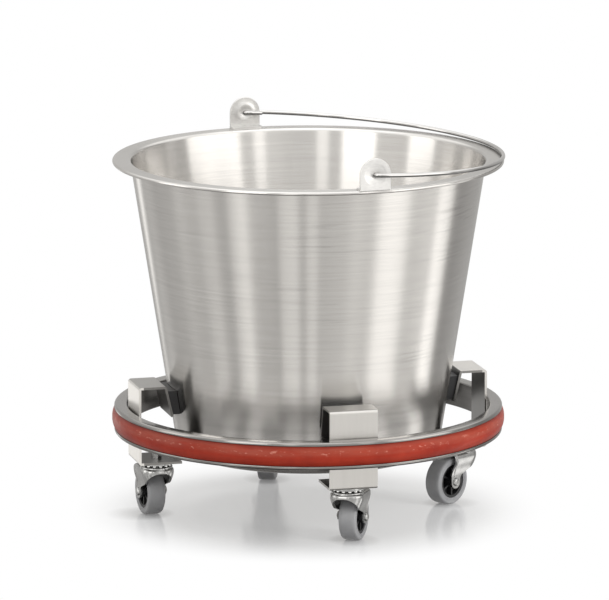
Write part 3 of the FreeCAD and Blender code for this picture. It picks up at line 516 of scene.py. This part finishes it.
def ear(name, turn, replaced):
    """Plate with a domed top, a dished round and the wire's hole, on a rounded foot."""
    bm = bmesh.new()
    segments = 48
    angles = [2 * math.pi * k / segments for k in range(segments)]

    def ring(radius, y):
        return [bm.verts.new((radius * math.cos(a), y, PIVOT_Z + radius * math.sin(a))) for a in angles]

    def border(y, shrink):
        loop = []
        for a in angles:
            x, z = math.cos(a), math.sin(a)
            reach = EAR_HALF - shrink
            if z < 0:
                sideways = reach / abs(x) if abs(x) > 1e-6 else math.inf
                reach = min(sideways, (PIVOT_Z - EAR_LOW) / abs(z))
            loop.append(bm.verts.new((reach * x, y, PIVOT_Z + reach * z)))
        return loop

    def bridge(first, second):
        for k in range(segments):
            n = (k + 1) % segments
            bm.faces.new((first[k], first[n], second[n], second[k]))

    # from the hole over the dished face, round the edge and back over the pressed round
    loops = [
        ring(EAR_HOLE, EAR_BACK),
        ring(EAR_HOLE, EAR_FACE - 0.0007),
        ring(EAR_HOLE + 0.0004, EAR_FACE - 0.0004),
        ring(0.0078, EAR_FACE - 0.0005),
        ring(0.0090, EAR_FACE - 0.00015),
        ring(0.0098, EAR_FACE),
        border(EAR_FACE, EAR_EDGE),
        border(EAR_FACE - EAR_EDGE, 0.0),
        border(EAR_BACK + EAR_EDGE, 0.0),
        border(EAR_BACK, EAR_EDGE),
        ring(0.0100, EAR_BACK),
        ring(0.0090, EAR_BACK - 0.0002),
        ring(0.0078, EAR_BACK - 0.0008),
        ring(0.0066, EAR_BACK - 0.0009),
        ring(EAR_HOLE + 0.0006, EAR_BACK - 0.0004),
    ]
    for first, second in zip(loops, loops[1:] + loops[:1]):
        bridge(first, second)
    foot = rounded([
        (-EAR_HALF, EAR_BACK - FOOT_LENGTH, FOOT_ROUND),
        (EAR_HALF, EAR_BACK - FOOT_LENGTH, FOOT_ROUND),
        (EAR_HALF, FOOT_END),
        (-EAR_HALF, FOOT_END),
    ], 5)
    lower = [bm.verts.new((x, y, RIM_Z)) for x, y in foot]
    upper = [bm.verts.new((x, y, RIM_Z + FOOT_SHEET)) for x, y in foot]
    bm.faces.new(lower)
    bm.faces.new(upper)
    for k in range(len(foot)):
        n = (k + 1) % len(foot)
        bm.faces.new((lower[k], lower[n], upper[n], upper[k]))
    finished(name, meshed(name, bm, turned_to(turn), 38), EAR_STEEL, "pail", replaced)


ear("ear_front_dished", EAR_TURN + math.pi, "ear_front")
ear("ear_rear_dished", EAR_TURN, "ear_rear")

# ------------------------------------------------------------------ bail

WIRE_RADIUS = 0.00175
BAIL_REACH = 0.1643          # from the hinge to the arc's furthest point
BAIL_ARM = 0.1675            # half the arc's width at the hinge
STUB_LINE = 0.16075          # of the hooks' ends from the pail's axis
STUB = 0.015
HOOK_BEND = 0.0022
REST_GAP = 0.00025


def tube(name, path, radius, material, body, replaced, place, around=20):
    """Round bar along a flat path, with its ends slightly rounded."""
    bm = bmesh.new()
    path = [point.to_3d() for point in path]
    up = Vector((0, 0, 1))
    first = (path[1] - path[0]).normalized()
    last = (path[-1] - path[-2]).normalized()
    ends = ((0.0, 0.55), (0.08, 0.8), (0.25, 0.95))
    stations = [(path[0] + first * radius * shift, first, radius * share) for shift, share in ends]
    for before, here, after in zip(path, path[1:], path[2:]):
        stations.append((here, (after - before).normalized(), radius))
    stations += [(path[-1] - last * radius * shift, last, radius * share) for shift, share in reversed(ends)]
    loops = []
    for centre, along, size in stations:
        side = up.cross(along)
        loop = []
        for j in range(around):
            a = 2 * math.pi * j / around
            loop.append(bm.verts.new(centre + size * (side * math.cos(a) + up * math.sin(a))))
        loops.append(loop)
    for low_loop, high_loop in zip(loops, loops[1:]):
        for j in range(around):
            n = (j + 1) % around
            bm.faces.new((low_loop[j], low_loop[n], high_loop[n], high_loop[j]))
    bm.faces.new(loops[0])
    bm.faces.new(loops[-1])
    finished(name, meshed(name, bm, place, 50), material, body, replaced)


arc_radius = (BAIL_REACH ** 2 + BAIL_ARM ** 2) / (2 * BAIL_REACH)
arc_middle = BAIL_REACH - arc_radius
hook_y = math.sqrt((arc_radius - HOOK_BEND) ** 2 - (HOOK_BEND - arc_middle) ** 2)
opened = math.atan2(hook_y, HOOK_BEND - arc_middle)
front_hook = [Vector((STUB, -STUB_LINE))]
front_hook += arc_points(HOOK_BEND, -STUB_LINE - HOOK_BEND, HOOK_BEND, math.pi / 2, math.pi, 8)
front_hook += arc_points(HOOK_BEND, -hook_y, HOOK_BEND, math.pi, 2 * math.pi - opened, 8)
rear_hook = [Vector((x, -y)) for x, y in reversed(front_hook)]
arc = arc_points(arc_middle, 0, arc_radius, -opened, opened, 160)[1:-1]
fold = math.asin((PIVOT_Z - RIM_Z - WIRE_RADIUS - REST_GAP) / BAIL_REACH)
lay = Matrix.Translation((0, 0, PIVOT_Z)) @ turned_to(EAR_TURN) @ Matrix.Rotation(fold, 4, "Y")
tube("bail_bent_wire", front_hook + arc + rear_hook, WIRE_RADIUS, WIRE, "bail", "bail_wire", lay)

# ------------------------------------------------------------------ tyres

WHEEL_RADIUS = 0.020
HALF_WIDTH = 0.0075
HUB_RADIUS = 0.01423
# where the tyre's painted lighter side starts, from the middle
LIT_SIDE_FROM = HALF_WIDTH - 0.0009
LEG_CORNER = 0.15325         # of a leg's outer corners from the pail's axis
LEG_HALF = 0.0205
SWIVEL_IN = 0.0193           # of the swivel's axis from the leg's outer face
SWIVEL_RADIUS = math.sqrt(LEG_CORNER ** 2 - LEG_HALF ** 2) - SWIVEL_IN
TRAIL = 0.016
# each castor's leg and the way its wheel trails, in degrees from +X
TURNS = {"front": (-90.0, 57.5), "right": (0.0, 214.8), "rear": (90.0, 248.7), "left": (180.0, 95.6)}


def on_swivel(leg, trail):
    """Takes a piece from the origin, trailing towards +X, to its place under a leg."""
    leg = math.radians(leg)
    place = Matrix.Translation((SWIVEL_RADIUS * math.cos(leg), SWIVEL_RADIUS * math.sin(leg), 0))
    return place @ turned_to(math.radians(trail))


def on_axle(leg, trail):
    """Takes a piece turned about Z to its place on a castor's axle."""
    lying = Matrix.Translation((TRAIL, 0, WHEEL_RADIUS)) @ Matrix.Rotation(math.radians(-90), 4, "X")
    return on_swivel(leg, trail) @ lying


# from the hub over a shallow groove and the side's flat to the tread
half_tyre = [
    (HUB_RADIUS, HALF_WIDTH - 0.0001, 0.0006),
    (0.0154, HALF_WIDTH - 0.0001, 0.0002),
    (0.0157, HALF_WIDTH - 0.0004, 0.0002),
    (0.0160, HALF_WIDTH, 0.0002),
    (WHEEL_RADIUS - 0.0005, HALF_WIDTH, 0.0019),
    (WHEEL_RADIUS, 0.0042, 0.006),
]
tyre_loop = rounded(mirrored(half_tyre, 0.0), 5)
for name, turns in TURNS.items():
    lathe("tyre_moulded_" + name, tyre_loop, TYRE, "caster_wheel_" + name, ["tyre_" + name], 96,
          on_axle(*turns), (TYRE_SIDE, LIT_SIDE_FROM))

# ------------------------------------------------------------------ forks

# sizes of a fork that stands at the origin and trails towards +X
FORK_SHEET = 0.0018
CROWN = 0.0444
CROWN_BEND = 0.0028
SHELF = CROWN - CROWN_BEND
CROWN_HALF = 0.0143
WAIST_IN = 0.0035            # how far the walls lean in towards the axle
WAIST_TOP = 0.040
WAIST_DROP = 0.013
NOSE = 0.012                 # radius of the nose seen from above
NOSE_LOW = CROWN - FORK_SHEET - 0.0022
TAIL = 0.018
TAIL_TOP = 0.036
TAIL_SLOPE = 2.7
EYE = 0.0057                 # radius of the round about the axle's hole
HEEL = (0.0053, 0.0215)      # middle of the round by which the front edge leaves the eye
HEEL_RADIUS = 0.005
EDGE = (0.0103, 0.025)       # where the front edge's line starts to climb to the nose
EDGE_SLOPE = 9.0 / 24.6
ROWS = 18                    # of faces over the wall's height
STRAIGHT = 12                # of them below the crown's bend


def smooth(t):
    t = min(1.0, max(0.0, t))
    return t * t * (3 - 2 * t)


def edge_height(x):
    return EDGE[1] + (EDGE[0] - x) * EDGE_SLOPE


def fork_columns():
    """Half of the fork's wall in columns, from its rear edge to the nose: the point seen from above, the
    way out of the wall, the lower end and, where the crown doesn't reach, the upper end."""
    columns = []
    around = [TRAIL + EYE * math.cos(math.pi * k / 12) for k in range(13)]
    for x in sorted(around + [TAIL], reverse=True):
        low = WHEEL_RADIUS - math.sqrt(max(0.0, EYE ** 2 - (x - TRAIL) ** 2))
        high = TAIL_TOP - (x - TAIL) * TAIL_SLOPE if x >= TAIL else None
        columns.append((x, CROWN_HALF, 0.0, 1.0, low, high))
    for x in (0.01025, 0.0100, 0.0095, 0.0088, 0.0080, 0.0071):
        low = HEEL[1] + math.sqrt(HEEL_RADIUS ** 2 - (x - HEEL[0]) ** 2)
        columns.append((x, CROWN_HALF, 0.0, 1.0, low, None))
    for x in (0.005, 0.003, 0.001, -0.001):
        columns.append((x, CROWN_HALF, 0.0, 1.0, edge_height(x), None))
    turn = NOSE - CROWN_HALF
    start = edge_height(turn)
    length = NOSE * math.pi / 2
    for k in range(15):
        share = k / 14
        a = share * math.pi / 2
        pull = length * EDGE_SLOPE * (share ** 3 - 2 * share ** 2 + share)
        low = start + pull + (NOSE_LOW - start) * smooth(share)
        columns.append((turn - NOSE * math.sin(a), NOSE * math.cos(a) - turn, -math.sin(a), math.cos(a), low,
                        None))
    return columns


def wall_rows(low, high):
    """The outer and the inner line of one column, each as (how far in from the widest line, height)."""
    outer, inner = [], []
    for row in range(ROWS + 1):
        if high is None and row > STRAIGHT:
            a = math.pi / 2 * (row - STRAIGHT) / (ROWS - STRAIGHT)
            inner_bend = CROWN_BEND - FORK_SHEET
            outer.append((CROWN_BEND * (1 - math.cos(a)), SHELF + CROWN_BEND * math.sin(a)))
            inner.append((FORK_SHEET + inner_bend * (1 - math.cos(a)), SHELF + inner_bend * math.sin(a)))
        else:
            share = row / (ROWS if high else STRAIGHT)
            z = low + ((high or SHELF) - low) * share
            lean = WAIST_IN * smooth((WAIST_TOP - z) / WAIST_DROP)
            outer.append((lean, z))
            inner.append((lean + FORK_SHEET, z))
    return outer, inner


def drawn_fork(name, place):
    """Drawn fork: walls that follow the round nose, lean in to the axle and bend over into the crown."""
    bm = bmesh.new()
    half = fork_columns()
    columns = half + [(x, -y, out_x, -out_y, low, high) for x, y, out_x, out_y, low, high in reversed(half)]
    outer, inner = [], []
    for x, y, out_x, out_y, low, high in columns:
        for wall_side, line in zip((outer, inner), wall_rows(low, high)):
            wall_side.append([bm.verts.new((x - out_x * back, y - out_y * back, z)) for back, z in line])
    last = len(columns) - 1
    for j in range(last):
        for side in (outer, inner):
            for row in range(ROWS):
                bm.faces.new((side[j][row], side[j + 1][row], side[j + 1][row + 1], side[j][row + 1]))
        bm.faces.new((outer[j][0], outer[j + 1][0], inner[j + 1][0], inner[j][0]))
        if columns[j][5] or columns[j + 1][5]:
            bm.faces.new((outer[j][ROWS], outer[j + 1][ROWS], inner[j + 1][ROWS], inner[j][ROWS]))
    for j in (0, last):
        for row in range(ROWS):
            bm.faces.new((outer[j][row], outer[j][row + 1], inner[j][row + 1], inner[j][row]))
    crowned = [j for j in range(last + 1) if not columns[j][5]]
    bm.faces.new([outer[j][ROWS] for j in crowned])
    bm.faces.new([inner[j][ROWS] for j in crowned])
    a, b = crowned[0], crowned[-1]
    bm.faces.new((outer[a][ROWS], outer[b][ROWS], inner[b][ROWS], inner[a][ROWS]))
    return meshed(name, bm, place, 40)


# the race pressed on the crown, with the groove for the balls
RACE_FOOT = 0.043
RACE_TOP = 0.0453
RACE_INSIDE = 0.003
RACE_OUTSIDE = 0.0138
BALL_LINE = 0.0114
BALL_Z = 0.0463
GROOVE = 0.00168
race_loop = rounded([
    (RACE_INSIDE, RACE_FOOT),
    (RACE_OUTSIDE, RACE_FOOT),
    (RACE_OUTSIDE, RACE_TOP, 0.0005),
    (0.01275, RACE_TOP),
])
race_loop += arc_points(BALL_LINE, BALL_Z, GROOVE, math.radians(-36), math.radians(-144), 8)
race_loop += [Vector((0.0088, RACE_TOP)), Vector((0.0079, CROWN)), Vector((RACE_INSIDE, CROWN))]
for name, turns in TURNS.items():
    fork = drawn_fork("fork_drawn_" + name, on_swivel(*turns))
    finished("fork_drawn_" + name, fork, ZINC, "caster_fork_" + name, "fork_" + name)
    lathe("fork_race_" + name, race_loop, ZINC, "caster_fork_" + name, [], 96, on_swivel(turns[0], 0.0))

# ------------------------------------------------------------------ carried-over nodes

for name in TURNS:
    for kind, material in (
        ("leg_", LEG_STEELS[name]), ("pad_", PAD), ("castor_stud_", ZINC), ("castor_nut_", ZINC),
        ("upper_race_", ZINC), ("race_balls_", BALL), ("axle_bolt_", ZINC), ("axle_nut_", ZINC),
        ("wheel_hub_", HUB), ("hub_bush_", BUSH),
    ):
        wear(nodes[kind + name], material)

# ------------------------------------------------------------------ stage


def flat_disc(name, radius, z):
    mesh = bpy.data.meshes.new(name)
    bm = bmesh.new()
    bmesh.ops.create_circle(bm, cap_ends=True, segments=96, radius=radius)
    bm.to_mesh(mesh)
    bm.free()
    disc = bpy.data.objects.new(name, mesh)
    disc.location.z = z
    bpy.context.scene.collection.objects.link(disc)
    return disc


# The camera sees the floor as plain white, with its shadow and a dim reflection let through under the
# ring and most of all round each wheel. Each is (start, end, share of plain white before the start), with
# the distances from the pail's axis and from the wheel's axle.
UNDER_RING = (0.115, 0.205, 0.29)
ROUND_WHEEL = (0.010, 0.052, 0.14)
FLOOR_RADIUS = 14.0
floor = flat_disc("floor", FLOOR_RADIUS, 0.0)
s = Shader("pale_floor")
fade = s.step(s.radius(), *UNDER_RING)
for turns in TURNS.values():
    x, y, z = on_axle(*turns).translation
    away = s.vector("DISTANCE", s.flat_place(), (x, y, 0)).outputs["Value"]
    fade = s.number("MINIMUM", fade, s.step(away, *ROUND_WHEEL))
lit = s.add("ShaderNodeBsdfDiffuse", {"Color": (0.93, 0.93, 0.93, 1)})
shine = s.add("ShaderNodeBsdfGlossy", {"Color": (1, 1, 1, 1), "Roughness": 0.16})
glow = s.add("ShaderNodeEmission", {"Color": (1, 1, 1, 1), "Strength": 1.0})
soft = s.add("ShaderNodeMixShader", {0: 0.50, 1: lit, 2: shine})
seen = s.add("ShaderNodeMixShader", {0: fade, 1: soft, 2: glow})
plain = s.add("ShaderNodeBsdfDiffuse", {"Color": (0.8, 0.8, 0.8, 1)})
rays = s.add("ShaderNodeLightPath")
final = s.add("ShaderNodeMixShader", {0: rays.outputs["Is Camera Ray"], 1: plain, 2: seen})
s.set(s.output.inputs["Surface"], final)
wear(floor, s.material)
floor.visible_glossy = False

# The studio that the steel mirrors: a dome seen only in reflections, with upright soft panels before
# its walls. The low walls are what the pail's overhanging wall shows, the middle ones what upright faces
# show and the high ones what its inside shows. A wall is stops of (direction, level) and a panel is
# (middle, half width, soft edge, lift), with directions in degrees to the right of the camera.
DOME_RADIUS = 3.0
CAMERA_TURN = -14.41
LOW_WALLS = [(-180, 0.50), (-155, 0.46), (-146, 0.52), (-138, 0.66), (-122, 0.46), (-100, 0.50), (-30, 0.54),
             (0, 0.68), (40, 0.86), (85, 0.74), (112, 0.70), (124, 0.36), (180, 0.60)]
LOW_PANELS = [(-112, 9, 8, 0.06), (-74, 6, 5, 0.32), (-50, 7, 5, 0.50), (-14, 7, 4, 0.36), (3, 4, 3, 0.32),
              (33, 4, 4, 0.08), (62, 12, 8, 0.62), (107, 8, 5, 1.05)]
MID_WALLS = [(-180, 0.46), (-157, 0.46), (-153, 1.38), (-148, 1.38), (-143, 0.60), (-120, 0.45), (-60, 0.60),
             (-10, 0.72), (40, 0.72), (75, 0.64), (95, 0.52), (120, 0.42), (180, 0.46)]
MID_PANELS = [(-95, 6, 5, 0.6), (-40, 6, 4, 0.5), (62, 7, 5, 0.7), (84, 4, 3, 0.35)]
HIGH_WALLS = [(-180, 0.62), (-140, 0.60), (-110, 0.80), (-50, 0.80), (-20, 0.70), (8, 0.70), (25, 0.92),
              (45, 0.80), (96, 0.56), (120, 0.40), (180, 0.62)]
HIGH_PANELS = [(-84, 11, 2, 1.3), (-35.5, 12, 2, 1.7), (-10, 4, 2, 0.90), (34, 4, 2, 1.00), (69, 21, 2, 1.4),
               (106, 5, 4, 0.20)]
GROUND = (0.16, 0.155, 0.15, 1)
ROOF = (1.30, 1.29, 1.27, 1)
OVERHEAD = (1.8, 1.8, 1.8, 1)

dome_mesh = bpy.data.meshes.new("studio_dome")
bm = bmesh.new()
bmesh.ops.create_uvsphere(bm, u_segments=48, v_segments=24, radius=DOME_RADIUS)
bm.to_mesh(dome_mesh)
bm.free()
dome = bpy.data.objects.new("studio_dome", dome_mesh)
bpy.context.scene.collection.objects.link(dome)
s = Shader("studio_panels")
where = s.add("ShaderNodeSeparateXYZ", {0: s.geometry("Position")})
angle = s.number("ARCTAN2", where.outputs["X"], s.number("MULTIPLY", where.outputs["Y"], -1.0))
turned = s.number("ADD", angle, math.radians(-CAMERA_TURN))
direction = s.add("ShaderNodeMath", {0: turned, 1: math.pi, 2: -math.pi}, operation="WRAP").outputs[0]
share = s.add("ShaderNodeMapRange", {"Value": direction, "From Min": -math.pi, "From Max": math.pi})


def studio_wall(walls, panels):
    """Brightness all round: a slowly changing wall with soft upright panels before it."""
    total = s.ramp(share, [((degrees + 180) / 360, value) for degrees, value in walls])
    for middle, half, edge, lift in panels:
        off = s.number("SUBTRACT", direction, math.radians(middle))
        size = s.add("ShaderNodeMath", {0: off}, operation="ABSOLUTE")
        panel = s.step(size, math.radians(half - edge / 2), math.radians(half + edge / 2), lift, 0.0)
        total = s.number("ADD", total, panel)
    return s.mix(1.0, total, (1.0, 0.985, 0.96, 1), "MULTIPLY")


# from the ground up, with the heights between which each zone takes over
light = GROUND
for start, end, zone in (
    (-2.5, -1.9, studio_wall(LOW_WALLS, LOW_PANELS)),
    (-0.70, -0.64, studio_wall(MID_WALLS, MID_PANELS)),
    (-0.45, -0.2, studio_wall(HIGH_WALLS, HIGH_PANELS)),
    (1.1, 1.9, ROOF),
    (2.45, 2.7, OVERHEAD),
):
    light = s.mix(s.step(where.outputs["Z"], start, end), light, zone)
glow = s.add("ShaderNodeEmission", {"Color": light, "Strength": 1.0})
s.set(s.output.inputs["Surface"], glow)
wear(dome, s.material)
dome.visible_camera = False
dome.visible_diffuse = False
dome.visible_transmission = False
dome.visible_shadow = False

# ------------------------------------------------------------------ light and camera

# the world is white where it is seen, straight or mirrored, and lights the scene with less
SEEN_LEVEL = 1.0
LIGHT_LEVEL = 0.55
world = bpy.data.worlds.new("studio")
bpy.context.scene.world = world
s = Shader("studio", world)
rays = s.add("ShaderNodeLightPath")
looks = s.number("MAXIMUM", rays.outputs["Is Camera Ray"], rays.outputs["Is Glossy Ray"])
looks = s.number("MAXIMUM", looks, rays.outputs["Is Transmission Ray"])
level = s.add("ShaderNodeMix", {0: looks, 2: LIGHT_LEVEL, 3: SEEN_LEVEL}, data_type="FLOAT")
white = s.add("ShaderNodeBackground", {"Color": (1, 1, 1, 1), "Strength": level})
s.set(s.output.inputs["Surface"], white)


def facing(place, aim):
    """The turn that points a lamp or camera at a place."""
    return (Vector(aim) - Vector(place)).to_track_quat("-Z", "Y")


def lamp(name, place, aim, size, watts):
    data = bpy.data.lights.new(name, "AREA")
    data.shape = "RECTANGLE"
    data.size, data.size_y = size
    data.energy = watts
    light = bpy.data.objects.new(name, data)
    light.location = place
    light.rotation_mode = "QUATERNION"
    light.rotation_quaternion = facing(place, aim)
    light.visible_glossy = False
    bpy.context.scene.collection.objects.link(light)


lamp("left_softbox", (-1.9, -2.2, 2.4), (0, 0, 0.15), (1.4, 1.4), 18)
lamp("key_softbox", (2.2, -2.4, 1.5), (0, 0, 0.1), (1.2, 1.4), 62)
lamp("top_softbox", (0.2, 0.9, 2.8), (0, 0, 0.1), (1.8, 1.8), 42)

# the photo's camera, fitted to the pail's rim and wall, the ring and the wheels; shifts are in pixels
PICTURE_WIDTH = 609
SHIFT_X = -3.66
SHIFT_Y = -8.43
CAMERA_AIM = (0, 0, 0.1882)
camera_data = bpy.data.cameras.new("camera")
camera_data.sensor_width = 36.0
camera_data.lens = 375.9
camera_data.shift_x = SHIFT_X / PICTURE_WIDTH
camera_data.shift_y = SHIFT_Y / PICTURE_WIDTH
camera_data.clip_start = 0.1
camera_data.clip_end = 100.0
camera = bpy.data.objects.new("camera", camera_data)
camera.location = (-1.31292, -5.11061, 1.22694)
camera.rotation_mode = "QUATERNION"
camera.rotation_quaternion = facing(camera.location, CAMERA_AIM)
bpy.context.scene.collection.objects.link(camera)
bpy.context.scene.camera = camera

bpy.context.scene.view_settings.view_transform = "Standard"
